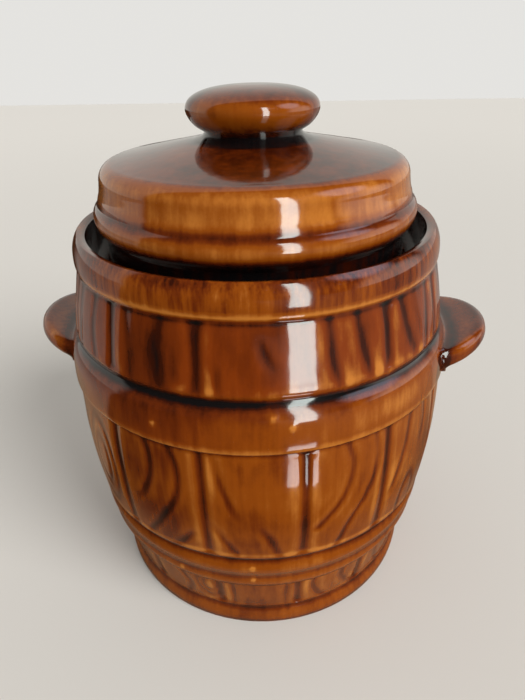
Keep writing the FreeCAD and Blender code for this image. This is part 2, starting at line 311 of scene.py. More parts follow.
class Rings:
    """Outline of a turned shape, gathered as (radius, height) points."""

    def __init__(self, radius, height):
        self.points = [np.array([[radius, height]], float)]

    def curve(self, points, spacing):
        self.points.append(smooth_curve([tuple(self.points[-1][-1])] + list(points), spacing))

    def line(self, radius, height, spacing):
        self.curve([(radius, height)], spacing)

    def arc(self, radius, height, reach, first, last, count):
        """Arc about a centre, at angles up from the outward direction."""
        turns = np.radians(np.linspace(first, last, count + 1)[1:])
        self.points.append(np.column_stack((radius + reach * np.cos(turns), height + reach * np.sin(turns))))

    def band(self, low, high, full_radius, shape, spacing):
        """Step out to a band's lower edge, then follow its outline. Full radius is a function of height."""
        points = []
        for inward, share in shape:
            height = low + (high - low) * share
            points.append((float(full_radius(height)) - inward * MM, height))
        self.line(*points[0], spacing)
        self.curve(points[1:], spacing)

    def panel(self, low, high, inset, spacing):
        heights = np.linspace(low, high, 7)[1:]
        self.curve([(float(bow(height)) - inset, height) for height in heights], spacing)

    def groove(self, low, high, inset, depth, spacing):
        middle = (low + high) / 2
        self.curve([(float(bow(middle)) - inset - depth, middle), (float(bow(high)) - inset, high)], spacing)

    def all(self):
        return np.vstack(self.points)


def pot_outside():
    """The pot's outside, from its foot ring up over the rim."""
    rings = Rings(FOOT_RING_INNER, 0)
    foot_radius = BASE_RADIUS + FOOT_RISE
    rings.band(0, FOOT_HIGH, lambda height: foot_radius, FOOT_SHAPE, BAND_SPACING)
    rings.groove(FOOT_HIGH, FOOT_PANEL_LOW, FOOT_PANEL_INSET, FOOT_GROOVE_DEPTH, RING_SPACING)
    rings.panel(FOOT_PANEL_LOW, LOW_HOOP_LOW, FOOT_PANEL_INSET, RING_SPACING)
    rings.band(LOW_HOOP_LOW, LOW_HOOP_HIGH, lambda height: bow(height) + LOW_HOOP_RISE, LOW_HOOP_SHAPE,
               BAND_SPACING)
    rings.groove(LOW_HOOP_HIGH, MAIN_PANEL_LOW, 0, GROOVE_DEPTH, RING_SPACING)
    rings.panel(MAIN_PANEL_LOW, MID_HOOP_LOW, 0, RING_SPACING)
    rings.band(MID_HOOP_LOW, MID_HOOP_HIGH, lambda height: bow(height) + MID_HOOP_RISE, MID_HOOP_SHAPE,
               BAND_SPACING)
    rings.groove(MID_HOOP_HIGH, UPPER_PANEL_LOW, 0, GROOVE_DEPTH, RING_SPACING)
    rings.panel(UPPER_PANEL_LOW, RIM_LOW, 0, RING_SPACING)
    rings.band(RIM_LOW, RIM_HIGH, lambda height: NECK_RADIUS + RIM_RISE, RIM_SHAPE, RING_SPACING)
    return rings.all()


def pot_inside():
    """The pot's gutter, collar and hollow, from the rim's inner edge to the middle of the floor."""
    rings = Rings(GUTTER_OUTER, GUTTER_FLOOR + GUTTER_WALL)
    rings.line(GUTTER_OUTER, GUTTER_FLOOR, INSIDE_SPACING / 2)
    rings.line(COLLAR_OUTER, GUTTER_FLOOR, INSIDE_SPACING)
    collar_round = (COLLAR_OUTER - MOUTH_RADIUS) / 2
    rings.line(COLLAR_OUTER, COLLAR_HIGH - collar_round, INSIDE_SPACING)
    rings.arc(MOUTH_RADIUS + collar_round, COLLAR_HIGH - collar_round, collar_round, 0, 180, 8)
    rings.line(MOUTH_RADIUS, CEILING, INSIDE_SPACING)
    wall_high = CEILING - SHOULDER_ROUNDING
    corner = float(bow(wall_high)) - WALL - SHOULDER_ROUNDING
    rings.line(corner, CEILING, INSIDE_SPACING)
    rings.arc(corner, wall_high, SHOULDER_ROUNDING, 90, 0, 6)
    wall_low = FLOOR_HEIGHT + FLOOR_ROUNDING
    low_radius = float(bow(wall_low)) - FOOT_PANEL_INSET - WALL
    wall = [(float(bow(height)) - WALL, height) for height in np.linspace(wall_high, MAIN_PANEL_LOW, 7)[1:]]
    rings.curve(wall + [(low_radius, wall_low)], INSIDE_SPACING)
    rings.arc(low_radius - FLOOR_ROUNDING, wall_low, FLOOR_ROUNDING, 0, -90, 6)
    rings.line(INSIDE_SPACING, FLOOR_HEIGHT, 2 * INSIDE_SPACING)
    return rings.all()


def pot_underside():
    """The unglazed underside, from its middle out to the foot ring."""
    rings = Rings(INSIDE_SPACING, FOOT_RING_DEPTH)
    rings.line(FOOT_RING_INNER - FOOT_RING_DEPTH, FOOT_RING_DEPTH, 2 * INSIDE_SPACING)
    return rings.all()


def cone_height(radius):
    """Height of the lid's low cone at a radius."""
    return TIER_HIGH + LID_SHOULDER + CONE_RISE * (CONE_RADIUS - radius) / (CONE_RADIUS - KNOB_NECK)


def knob_point(angle):
    """Point of the knob's outline at an angle above its widest line. An oval has a fullness of 2."""
    above = angle > 0
    half_height = KNOB_UPPER if above else -KNOB_LOWER
    power = 2 / (KNOB_UPPER_FULLNESS if above else KNOB_LOWER_FULLNESS)
    turn = math.radians(abs(angle))
    return (KNOB_RADIUS * math.cos(turn) ** power,
            LID_HIGH.z - KNOB_UPPER + half_height * math.sin(turn) ** power)


def lid_outside():
    """The lid's outside, from its skirt's foot up to the top of the knob."""
    rings = Rings(SKIRT_OUTER, GUTTER_FLOOR + SKIRT_CHAMFER)
    rings.line(SKIRT_OUTER, RIM_HIGH - BEAD_UNDERCUT, 4 * BAND_SPACING)
    rings.band(RIM_HIGH, BEAD_HIGH, lambda height: BEAD_RADIUS, BEAD_SHAPE, BAND_SPACING / 2)
    rings.curve([(TIER_RADIUS, BEAD_HIGH + TIER_EASE),
                 (TIER_RADIUS - TIER_TAPER / 2, BEAD_HIGH + TIER_HEIGHT / 2),
                 (TIER_RADIUS - TIER_TAPER, TIER_HIGH)], BAND_SPACING / 2)
    rings.arc(CONE_RADIUS, TIER_HIGH, LID_SHOULDER, 0, 84, 14)
    flare = KNOB_NECK + NECK_FLARE
    rings.line(flare, cone_height(flare), BAND_SPACING)
    neck = cone_height(KNOB_NECK)
    rings.curve([(KNOB_NECK + NECK_FLARE / 4, neck + NECK_HEIGHT / 5), (KNOB_NECK, neck + NECK_HEIGHT)],
                BAND_SPACING / 3)
    rings.curve([knob_point(angle) for angle in KNOB_ANGLES], BAND_SPACING * 0.6)
    return rings.all()


def lid_underside():
    """The hollow underneath the lid, from its middle down to the skirt's foot."""
    ceiling_radius = SKIRT_INNER - LID_SHOULDER
    ceiling = cone_height(ceiling_radius) - LID_WALL
    rings = Rings(INSIDE_SPACING, cone_height(KNOB_NECK) - LID_WALL)
    rings.line(KNOB_NECK, cone_height(KNOB_NECK) - LID_WALL, 2 * INSIDE_SPACING)
    rings.line(ceiling_radius, ceiling, INSIDE_SPACING)
    rings.arc(ceiling_radius, ceiling - LID_SHOULDER, LID_SHOULDER, 90, 0, 6)
    rings.line(SKIRT_INNER, GUTTER_FLOOR + SKIRT_CHAMFER, INSIDE_SPACING)
    rings.line(SKIRT_INNER + SKIRT_CHAMFER, GUTTER_FLOOR, INSIDE_SPACING)
    rings.line(SKIRT_OUTER - SKIRT_CHAMFER, GUTTER_FLOOR, INSIDE_SPACING)
    return rings.all()


def join_rings(faces, first, first_count, second, second_count):
    """Faces between two rings of points. One ring may have four times as many points as the other."""
    if first_count == second_count:
        for index in range(first_count):
            after = (index + 1) % first_count
            faces.append((first + index, first + after, second + after, second + index))
        return
    turned = first_count < second_count
    fine, coarse, count = (second, first, first_count) if turned else (first, second, second_count)
    for index in range(count):
        fine_index = [fine + (4 * index + step) % (4 * count) for step in range(5)]
        near, far = coarse + index, coarse + (index + 1) % count
        fan = [(fine_index[0], fine_index[1], near), (fine_index[1], fine_index[2], near),
               (fine_index[2], far, near), (fine_index[2], fine_index[3], far),
               (fine_index[3], fine_index[4], far)]
        faces.extend([tuple(reversed(face)) for face in fan] if turned else fan)


def turned_mesh(name, sections):
    """Closed mesh of rings round the crock's axis. A section is an array of radii by ring and bearing,
    and the rings' heights, in the same form. The first and last rings close on a point."""
    points, faces, rings = [], [], []
    total = 0
    for radii, heights in sections:
        count = radii.shape[1]
        bearings = np.radians(np.arange(count) * 360 / count)
        for radius, height in zip(radii, heights):
            points.append(np.column_stack((radius * np.sin(bearings), -radius * np.cos(bearings), height)))
            rings.append((total, count))
            total += count
    ends = [np.mean(points[0], axis=0), np.mean(points[-1], axis=0)]
    points.append(np.array([[0, 0, end[2]] for end in ends]))
    for (first, first_count), (second, second_count) in zip(rings[:-1], rings[1:]):
        join_rings(faces, first, first_count, second, second_count)
    for pole, (start, count), step in ((total, rings[0], 1), (total + 1, rings[-1], -1)):
        for index in range(count):
            pair = (start + index, start + (index + 1) % count)
            faces.append((pole,) + (pair[::-1] if step > 0 else pair))
    mesh = bpy.data.meshes.new(name)
    mesh.from_pydata(np.vstack(points).tolist(), [], faces)
    mesh.update()
    return mesh


def even_rings(outline, segments):
    """A section of plain round rings."""
    radii = np.repeat(outline[:, 0:1], segments, axis=1)
    return radii, np.repeat(outline[:, 1:2], segments, axis=1)


def link_piece(name, mesh):
    piece = bpy.data.objects.new(name, mesh)
    bpy.context.scene.collection.objects.link(piece)
    return piece


# ---- Carving ----

def line_distance(across, up, path):
    """Distance from each place to a path, and the share of the path's length where it is nearest."""
    nearest = np.full(across.shape, np.inf)
    share = np.zeros(across.shape)
    lengths = np.linalg.norm(np.diff(path, axis=0), axis=1)
    total, done = lengths.sum(), 0.0
    for start, end, length in zip(path[:-1], path[1:], lengths):
        direction = (end - start) / length
        along = np.clip((across - start[0]) * direction[0] + (up - start[1]) * direction[1], 0, length)
        distance = np.hypot(across - start[0] - along * direction[0], up - start[1] - along * direction[1])
        closer = distance < nearest
        nearest = np.where(closer, distance, nearest)
        share = np.where(closer, (done + along) / total, share)
        done += length
    return nearest, share


def carved_line(distance, depth, width, stain):
    """Relief of a carved line, in millimetres, and how far its glaze has pooled (1) or thinned (-1). The
    thinned, golden shoulders beside the line are partly thin glaze and partly painted highlight.
    """
    groove = hump(0, width, distance)
    shoulder = hump(SHOULDER_PLACE * width, SHOULDER_SPREAD * width, distance)
    return depth * (SHOULDER_SHARE * shoulder - groove), stain * (groove - POOLING_THINNED * shoulder)


def stave_carving(across, up, width, height, marks, mirrored):
    """Relief and pooling of one stave's carved lines and knots, at places in millimetres."""
    relief, pooling = np.zeros(across.shape), np.zeros(across.shape)
    for mark in marks:
        if isinstance(mark, Knot):
            knot_across, knot_up, half_width, half_height = np.array(mark[:4]) / 100
            middle = 1 - knot_across if mirrored else knot_across
            half_width, half_height = half_width * width, half_height * height
            reach = np.hypot((across - middle * width) / half_width, (up - knot_up * height) / half_height)
            for ring in range(mark.rings):
                distance = np.abs(reach - (1 - KNOT_STEP * ring)) * min(half_width, half_height)
                lift, pool = carved_line(distance, KNOT_DEPTH, KNOT_WIDTH, KNOT_STAIN)
                relief, pooling = relief + lift, pooling + pool
            continue
        shares = np.array(mark.path) / 100
        if mirrored:
            shares[:, 0] = 1 - shares[:, 0]
        path = np.vstack((shares[:1] * (width, height), smooth_curve(shares * (width, height), 3.0)))
        distance, share = line_distance(across, up, path)
        strength = np.ones(across.shape)
        if mark.high_fade:
            strength = strength * ease(0, mark.high_fade, share)
        if mark.low_fade:
            strength = strength * ease(0, mark.low_fade, 1 - share)
        lift, pool = carved_line(distance, mark.depth, mark.width, mark.stain)
        relief, pooling = relief + lift * strength, pooling + pool * strength
    return relief, pooling


def panel_carving(bearing, height, low, high, carving, filled):
    """Relief and pooling of a panel of staves, for places inside it. Heights are in metres. Glaze has
    filled the joints at the bearings in filled."""
    relief, pooling = np.zeros(bearing.shape), np.zeros(bearing.shape)
    tall = (high - low) / MM
    up = (height - low) / MM
    for half in (0, 1):
        joint = FIRST_JOINT + 180 * half
        for index, width in enumerate(STAVE_WIDTHS):
            middle = joint + width / 2
            turn = (bearing - middle + 180) % 360 - 180
            inside = np.abs(turn) <= width / 2
            scale = np.radians(1) * bow(height[inside]) / MM
            across = (turn[inside] + width / 2) * scale
            mark_index = (index + 3 * half) % len(STAVE_WIDTHS)
            wide = width * np.radians(1) * float(bow((low + high) / 2)) / MM
            lift, pool = stave_carving(across * wide / (width * scale), up[inside], wide, tall,
                                       carving[mark_index], half == 1)
            edge = np.minimum(across, width * scale - across)
            ends = (1 + JOINT_FLARES[0] * np.exp(-up[inside] / JOINT_FLARE_REACH)
                    + JOINT_FLARES[1] * np.exp(-(tall - up[inside]) / JOINT_FLARE_REACH))
            joint_lift, joint_pool = carved_line(edge, JOINT_DEPTH, JOINT_WIDTH * ends, JOINT_STAIN)
            openness = np.ones(edge.shape)
            for place in filled:
                openness = openness - FILLED_SHARE * hump(place, FILLED_REACH, bearing[inside])
            crown = CROWN * (1 - np.exp(-edge / CROWN_REACH)) * openness
            relief[inside] = lift + joint_lift * openness + crown - CROWN
            thinned = EDGE_THINNING * hump(EDGE_PLACE, EDGE_REACH, edge)
            pooling[inside] = pool + joint_pool * openness - thinned
            joint += width
    end_fade = ease(-1.0, 2.0, up) * ease(-1.0, 1.5, tall - up)
    return relief * end_fade, pooling * end_fade


def pot_carving(bearing, height):
    """Relief in metres and pooling of all the pot's carving."""
    relief, pooling = np.zeros(bearing.shape), np.zeros(bearing.shape)
    panels = ((FOOT_PANEL_LOW, LOW_HOOP_LOW, FOOT_CARVING, ()),
              (MAIN_PANEL_LOW, MID_HOOP_LOW, MAIN_CARVING, ()),
              (UPPER_PANEL_LOW, RIM_LOW, UPPER_CARVING, (FILLED_JOINT,)))
    for low, high, carving, filled in panels:
        inside = (height > low - 1.0 * MM) & (height < high)
        relief[inside], pooling[inside] = panel_carving(bearing[inside], height[inside], low, high, carving,
                                                        filled)
    for place, level in PIMPLES:
        away = np.hypot((bearing - place) * np.radians(1) * bow(height), height - level * MM) / MM
        relief += PIMPLE_HEIGHT * hump(0, PIMPLE_REACH, away)
        pooling -= PIMPLE_THINNING * hump(0, PIMPLE_REACH, away)
    return relief * MM, pooling


def ripple(bearing, height, size, seed):
    """Slow unevenness of a hand-finished surface, as a few waves of seeded places."""
    draw = np.random.default_rng(seed)
    total = np.zeros(np.broadcast(bearing, height).shape)
    for waves in (2, 3, 5, 7, 11, 16):
        phase, slope, tall = draw.uniform(0, 360), draw.uniform(-1, 1), draw.uniform(30, 90)
        turn = waves * bearing + phase + slope * 90 + 360 * height / MM / tall
        total = total + np.sin(np.radians(turn)) / waves
    return size * total


# ---- Pot ----

def ear_reach(turn):
    """How far the ear's half-oval outline stands out of the barrel at an angle from its middle."""
    along, side = EAR_PROJECTION + EAR_SINK, EAR_HALF_SPAN
    offset = EAR_SINK - EAR_ROOT
    a = (math.cos(turn) / along) ** 2 + (math.sin(turn) / side) ** 2
    b = 2 * offset * math.cos(turn) / along ** 2
    c = (offset / along) ** 2 - 1
    return (-b + math.sqrt(max(0.0, b * b - 4 * a * c))) / (2 * a) - EAR_ROOT


def ear_half_thickness(out, reach):
    """Half the ear's thickness at a distance out from the barrel, with its edge and root rounded."""
    inward = min(reach - out, EAR_EDGE_ROUND)
    flat_edge = EAR_HALF_THICKNESS - EAR_EDGE_ROUND
    thickness = flat_edge + math.sqrt(max(0.0, EAR_EDGE_ROUND ** 2 - (EAR_EDGE_ROUND - inward) ** 2))
    fillet = min(EAR_FILLET, 0.6 * reach)
    inner = max(0.0, fillet - max(0.0, out))
    return thickness + fillet - math.sqrt(fillet ** 2 - inner ** 2)


def ear_mesh(side):
    """One ear as a closed shape that starts inside the barrel's wall. Side is 1 or -1 along X."""
    shares = np.concatenate((np.linspace(0, 0.14, 5), np.linspace(0.22, 0.78, 7),
                             1 - 0.2 * np.linspace(0.9, 0, 9) ** 2))
    points, faces = [], []
    for turn in np.linspace(-EAR_HALF_TURN, EAR_HALF_TURN, EAR_COLUMNS):
        reach = max(ear_reach(turn), EAR_LEAST_REACH)
        outs = [-EAR_HIDDEN] + [share * reach for share in shares]
        for sign, order in ((-1, outs), (1, outs[::-1])):
            for out in order:
                rise = sign * ear_half_thickness(out, reach)
                plan = (EAR_ROOT + out) * math.cos(turn) - EAR_ROOT
                x = EAR_ROOT + plan * math.cos(EAR_TILT) - rise * math.sin(EAR_TILT)
                z = EAR_HEIGHT + plan * math.sin(EAR_TILT) + rise * math.cos(EAR_TILT)
                points.append((side * x, side * (EAR_ROOT + out) * math.sin(turn), z))
    count = len(points) // EAR_COLUMNS
    faces += [tuple(range(count)), tuple(reversed(range(len(points) - count, len(points))))]
    for start in range(0, len(points) - count, count):
        for index in range(count):
            after = (index + 1) % count
            faces.append((start + index, start + count + index, start + count + after, start + after))
    mesh = bpy.data.meshes.new("ear")
    mesh.from_pydata(points, [], faces)
    work = bmesh.new()
    work.from_mesh(mesh)
    bmesh.ops.recalc_face_normals(work, faces=work.faces)
    work.to_mesh(mesh)
    work.free()
    return mesh


def join_shapes(piece, others):
    """Join other closed shapes to a piece, so that it stays one closed shape."""
    for other in others:
        modifier = piece.modifiers.new("join", "BOOLEAN")
        modifier.operation = "UNION"
        modifier.solver = "MANIFOLD"
        modifier.object = other
    graph = bpy.context.evaluated_depsgraph_get()
    joined = bpy.data.meshes.new_from_object(piece.evaluated_get(graph))
    piece.modifiers.clear()
    piece.data = joined
    for other in others:
        bpy.data.objects.remove(other)


# Hand-finished sides: seeds of their unevenness, and how far they lie inside the solids' to make room
# for it. The rim's top and the foot's edge stay round.
POT_SEED = 4
LID_SEED = 9
POT_SETBACK = 0.25 * MM
LID_SETBACK = 0.15 * MM
RIM_TOP = 4.0 * MM
FOOT_EDGE = 2.0 * MM


def build_pot_mesh(sizes):
    outline = pot_outside()
    bearings = np.arange(POT_SEGMENTS) * 360 / POT_SEGMENTS
    bearing, height = np.meshgrid(bearings, outline[:, 1])
    carving = sizes.carving * pot_carving(bearing.ravel(), height.ravel())[0].reshape(bearing.shape)
    uneven = ripple(bearing, height, sizes.unevenness, POT_SEED) - POT_SETBACK
    on_face = (outline[:, 0] > GUTTER_OUTER + RIM_TOP)[:, None] & (height > FOOT_EDGE)
    radii = outline[:, 0:1] + np.where(on_face, carving + uneven, 0)
    inside_count = POT_SEGMENTS // 4
    return turned_mesh("crock_pot", [even_rings(pot_underside(), inside_count), (radii, height),
                                     even_rings(pot_inside(), inside_count)])


def build_pot(sizes):
    """The carved pot with its ears, as one closed mesh."""
    pot = link_piece("crock_pot", build_pot_mesh(sizes))
    join_shapes(pot, [link_piece("ear_shape", ear_mesh(side)) for side in (1, -1)])
    return pot


def build_lid(sizes):
    """The lid with its knob, as one closed mesh."""
    outline = lid_outside()
    bearing, height = np.meshgrid(np.arange(LID_SEGMENTS) * 360 / LID_SEGMENTS, outline[:, 1])
    shown = ease(RIM_HIGH - BEAD_UNDERCUT, RIM_HIGH + 2 * MM, height)
    radii = outline[:, 0:1] + shown * (ripple(bearing, height, sizes.lid_unevenness, LID_SEED) - LID_SETBACK)
    count = LID_SEGMENTS // 4
    mesh = turned_mesh("crock_lid", [even_rings(lid_underside(), count), (radii, height)])
    return link_piece("crock_lid", mesh)


# ---- Glaze on the shapes: how thick it lies, from 0 (thin, golden) to 1 (pooled, black), with some painted shade and painted highlight written in as thickness ----
# Bearings here are in degrees, and levels and reaches in millimetres.

# Rounds of the pot where the glaze lies thicker or, below 0, thinner: level, reach and change.
POT_ROUNDS = (
    (1.0, 1.2, 0.25), (6, 2.5, -0.06), (10.9, 1.3, 0.28), (25, 9, -0.06),
    (37.6, 1.2, 0.34), (42, 2.5, -0.14), (47.0, 1.5, 0.18), (54, 4.0, -0.12), (61.0, 2.2, 0.34),
    (65.6, 1.5, -0.34), (129.2, 0.9, 0.35), (131.5, 1.1, -0.40), (136, 5.0, -0.05), (152.4, 1.75, 0.68),
    (185.6, 1.2, 0.40), (188.1, 1.3, -0.42),
)
# At the lower ends of the upper staves it thins unevenly, and on top of the middle hoop it is painted darker
# towards the left, as painted shade.
STAVE_END_ROUNDS = ((157.8, 1.5, -0.15), (160, 3.2, -0.10))
HOOP_TOP_ROUNDS = ((148.8, 3.2, 0.15),)
# The lid's bead, and above it the upright tier.
LID_ROUNDS = ((209, 3.0, -0.06),)
LID_SIDE_ROUNDS = ((213.6, 2.4, 0.44), (219.5, 4.5, -0.15), (227, 2.5, -0.14))

# Broad places where the glaze runs thin and golden or, below 0, lies thicker: for each pair of lowest and
# highest level, their bearing, reach and change. The darker places on the left side, at bearings -28 to -20,
# are painted shade, and the golden place at bearing 44 on the middle hoop is painted light, both standing in
# for light that falls from the right.
GOLDEN_AND_SHADED_PLACES = {
    (62, 78): ((3, 8, -0.10),),
    (66, 125): ((80, 5, 0.10), (112, 7, 0.08), (158, 5, 0.10), (-100, 6, 0.10), (-140, 5, 0.08)),
    (66, 128): ((-28, 10, -0.14), (-20, 4, -0.14)),
    (68, 84): ((27, 5, -0.08),),
    (72, 100): ((4, 5, -0.04),),
    (78, 112): ((34, 4, -0.09),),
    (112, 126): ((3, 7, -0.10),),
    (133, 149): ((-24, 17, -0.17),),
    (137, 146): ((44, 13, 0.20),),
    (136, 147): ((-135, 15, 0.16), (120, 12, 0.12)),
    (154, 186): ((-23, 6.5, -0.25),),
    (155, 158): ((-13.5, 1.8, 0.36), (-6.5, 1.8, 0.40), (5.5, 1.0, 0.34), (9, 0.9, 0.30), (28.5, 2.2, 0.30),
                 (37.5, 1.5, 0.34), (41.5, 1.5, 0.40), (53, 2.5, 0.40)),
    (158, 184): ((29, 2.6, 0.20), (36.5, 1.6, 0.14), (44, 2.6, 0.04), (50, 2, 0.02), (-3, 4, 0.06),
                 (21.5, 1.6, 0.10), (8, 3, -0.08), (74, 6, 0.16), (98, 5, 0.14), (132, 7, 0.18),
                 (172, 6, 0.14), (-110, 6, 0.18), (-150, 7, 0.16), (-64, 5, 0.12)),
    (190, 203): ((-29, 2.5, 0.24), (-24, 3, 0.06), (-20, 8, -0.09), (3, 2.5, 0.28), (36, 2.5, 0.08),
                 (44, 10, -0.08), (100, 8, 0.20), (150, 6, 0.24), (-120, 9, 0.20), (-170, 6, 0.22),
                 (-75, 6, 0.18), (70, 5, 0.18)),
    (192, 203): ((-19, 2, 0.12), (8.5, 1.5, 0.22)),
    (193, 203): ((-4, 2, 0.22),),
}
PLACE_BLUR = 4.0
POT_GLAZE = 0.42
LID_GLAZE = 0.30
INSIDE_GLAZE = 0.84
# Where the ears' own glaze starts, in millimetres from the axis, and the radius of the hoop they join.
EAR_START = 101.6
HOOP_FACE = 99.5 * MM


def places(mesh):
    """Bearing, height and radius of every point of a mesh, and the points, in metres."""
    points = np.empty(len(mesh.vertices) * 3)
    mesh.vertices.foreach_get("co", points)
    points = points.reshape(-1, 3)
    bearing = np.degrees(np.arctan2(points[:, 0], -points[:, 1]))
    return bearing, points[:, 2], np.hypot(points[:, 0], points[:, 1]), points


def write_values(mesh, **values):
    for name, numbers in values.items():
        attribute = mesh.attributes.new(name, "FLOAT", "POINT")
        attribute.data.foreach_set("value", np.asarray(numbers, np.float32))


def between(low, high, level, blur, high_blur=None):
    """1 between two levels and 0 outside them, with blurred ends."""
    high_blur = high_blur or blur
    return ease(low - blur, low + blur, level) * (1 - ease(high - high_blur, high + high_blur, level))


def rounds(given, level):
    return sum(change * hump(middle, reach, level) for middle, reach, change in given)


def golden_and_shaded_places(bearing, level):
    total = np.zeros(len(level))
    for (low, high), given in GOLDEN_AND_SHADED_PLACES.items():
        turns = sum(change * hump(0, reach, (bearing - place + 180) % 360 - 180)
                    for place, reach, change in given)
        total += turns * between(low, high, level, PLACE_BLUR)
    return total


def ear_paint(level, radius, points):
    """Share of each point that is on an ear, the glaze there with painted shade on the underside, and how
    near the ear's root a point is, for the painted shade along the root.
    """
    out = radius / MM - EAR_START
    on_ear = ease(0, 2.5, out) * (np.abs(level - 143) < 16)
    # Painted shade along the root, where the ear joins the hoop.
    root = hump(0, 3.5, np.clip(out, 0, None)) * (np.abs(points[:, 0]) > 90 * MM) * (np.abs(level - 141) < 12)
    edge = out + 0.019 * (points[:, 1] / MM) ** 2
    # Painted shade on the underside; the golden edge is partly thin glaze and partly painted highlight.
    under = 1 - ease(-1.5, 1.5, level - EAR_HEIGHT / MM - math.sin(EAR_TILT) * out)
    glaze = 0.70 - 0.20 * hump(8, 4.5, out) - 0.26 * ease(18.5, 21.5, edge) + 0.20 * under
    return on_ear, glaze, root * (radius > HOOP_FACE)


def paint_pot(mesh):
    bearing, height, radius, points = places(mesh)
    level = height / MM
    in_upper = between(156, 185.5, level, 2, 1.5)
    in_main = between(64, 128.5, level, 2, 1.5)
    rim_face = radius > GUTTER_OUTER
    glaze = POT_GLAZE + 0.11 * in_upper - 0.02 * in_main + 0.05 * (1 - ease(64, 82, level))
    # The top of the middle hoop gets painted shade towards the left.
    glaze += rounds(POT_ROUNDS, level) + rounds(HOOP_TOP_ROUNDS, level) * (1 - 0.5 * ease(10, 40, bearing))
    thinned = np.where(np.abs(bearing) < 60, 0.45 + 0.55 * ease(10, 25, bearing),
                       0.75 + 0.25 * np.sin(np.radians(5 * bearing)))
    glaze += rounds(STAVE_END_ROUNDS, level) * thinned + 0.10 * ease(188, 191, level) * rim_face
    glaze += 0.13 * ease(197.0, 200.5, level) * (radius > GUTTER_OUTER + MM)
    outside = radius > bow(height) - 6 * MM
    glaze[outside] += POOLING_SHARE * pot_carving(bearing[outside], height[outside])[1]
    # Golden places, with painted shade on the left side and painted light on the right of the middle hoop.
    glaze -= golden_and_shaded_places(bearing, level)
    # Ears: painted shade where they join the hoop and on their undersides, and golden along their edges,
    # partly thin glaze and partly painted highlight.
    on_ear, ear_glaze_and_shade, root = ear_paint(level, radius, points)
    glaze = glaze * (1 - on_ear) + ear_glaze_and_shade * on_ear + 0.35 * root
    # Painted shade: the middle hoop turns redder and darker towards the left, away from the light.
    shaded_left_hoop = hump(-22, 22, bearing) * between(130.5, 150, level, 1.5, 1)
    glaze[(radius < GUTTER_OUTER + MM) & (level > 20)] = INSIDE_GLAZE
    write_values(mesh, glaze=glaze, blush=0.15 + 0.55 * in_upper + 0.10 * on_ear + 0.4 * shaded_left_hoop,
                 rim=ease(187, 191, level) * rim_face + 0.35 * on_ear)


def paint_lid(mesh):
    bearing, height, radius, points = places(mesh)
    level = height / MM
    on_side = ease(70, 73, radius / MM)
    top = 1 - ease(66, 71.5, radius / MM)
    on_knob = ease(239, 243, level)
    near_neck = radius < 33 * MM
    glaze = LID_GLAZE + (0.46 - 0.18 * hump(-45, 22, bearing)) * top + rounds(LID_ROUNDS, level)
    # Painted shade: the bead turns near black towards its foot, above the gutter.
    glaze += rounds(LID_SIDE_ROUNDS, level) * on_side + 0.72 * (1 - ease(202.3, 207.3, level))
    glaze += 0.12 * hump(-25, 12, bearing) * on_side * ease(214, 218, level)
    # Painted shade: the knob is golden in front and darker at its two sides, most on the left.
    glaze += (0.34 * hump(-78, 34, bearing) + 0.20 * hump(74, 24, bearing) - 0.38) * on_knob * top
    # Painted shade in the crease where the knob meets the lid and under the knob's bulge.
    glaze += 0.6 * hump(240.2, 2.2, level) * (radius < 31 * MM) + 0.14 * hump(244, 2.2, level) * near_neck
    glaze += 0.34 * ease(252.5, 258.5, level)
    write_values(mesh, glaze=glaze, blush=(0.1 + 0.25 * top) * (1 - on_knob),
                 rim=0.5 * hump(244.5, 2.5, level) * near_neck)


# ---- Settings ----

def colour(hex_code):
    """Linear colour of a plain six-figure colour code."""
    parts = [int(hex_code[index:index + 2], 16) / 255 for index in (0, 2, 4)]
    return tuple(part / 12.92 if part < 0.04045 else ((part + 0.055) / 1.055) ** 2.4 for part in parts)


def colour_setting(name, description, hex_code):
    return bpy.props.FloatVectorProperty(
        name=name, description=description, subtype="COLOR", size=3, min=0, max=1, default=colour(hex_code))


class CrockSizes(bpy.types.PropertyGroup):
    carving: bpy.props.FloatProperty(
        name="Carving",
        description="How deep the joints and the grain are cut, as a share of their usual depth",
        default=1.0, min=0, max=2)
    unevenness: bpy.props.FloatProperty(
        name="Unevenness", description="How far the hand-finished sides of the pot swell in and out",
        default=0.10 * MM, min=0, max=POT_SETBACK, precision=5, unit="LENGTH")
    lid_unevenness: bpy.props.FloatProperty(
        name="Lid unevenness", description="How far the lid's sides swell in and out",
        default=0.07 * MM, min=0, max=LID_SETBACK, precision=5, unit="LENGTH")


class GlazeColours(bpy.types.PropertyGroup):
    thin: colour_setting("Thin glaze", "Golden glaze where it runs thin over lips and ridges", "C77A2F")
    honey: colour_setting("Honey glaze", "Orange-brown glaze of ordinary thickness", "964B0C")
    chestnut: colour_setting("Thick glaze", "Red-brown glaze beside carved lines", "6C2A07")
    umber: colour_setting("Deep glaze", "Dark brown glaze in carved lines", "3A1205")
    pooled: colour_setting("Pooled glaze", "Blue-black glaze where it stands in the grooves", "120F10")
    red: colour_setting("Red glaze", "Red-brown that the upper staves and the ears lean towards", "7A2A07")
    clay: colour_setting("Bare clay", "Unglazed stoneware under the foot", "A98C6C")


class StageSettings(bpy.types.PropertyGroup):
    floor: colour_setting("Floor", "Colour of the floor", "D8D4CD")
    reflected: colour_setting("Reflected floor", "Dark, warm floor as glossy surfaces show it", "3C2E22")
    board: colour_setting("Reflected board", "Paler floor close by and at the sides, in reflections",
                          "B09A80")
    light: bpy.props.FloatProperty(
        name="Light", description="Strength of the even light from all sides", default=0.46, min=0)
    key: bpy.props.FloatProperty(
        name="Key light", description="Strength of the soft light from the right", default=2.5, min=0)
    window: bpy.props.FloatProperty(
        name="Window", description="Power of the tall window that the glaze reflects", default=3.0, min=0,
        unit="POWER")


# ---- Nodes ----

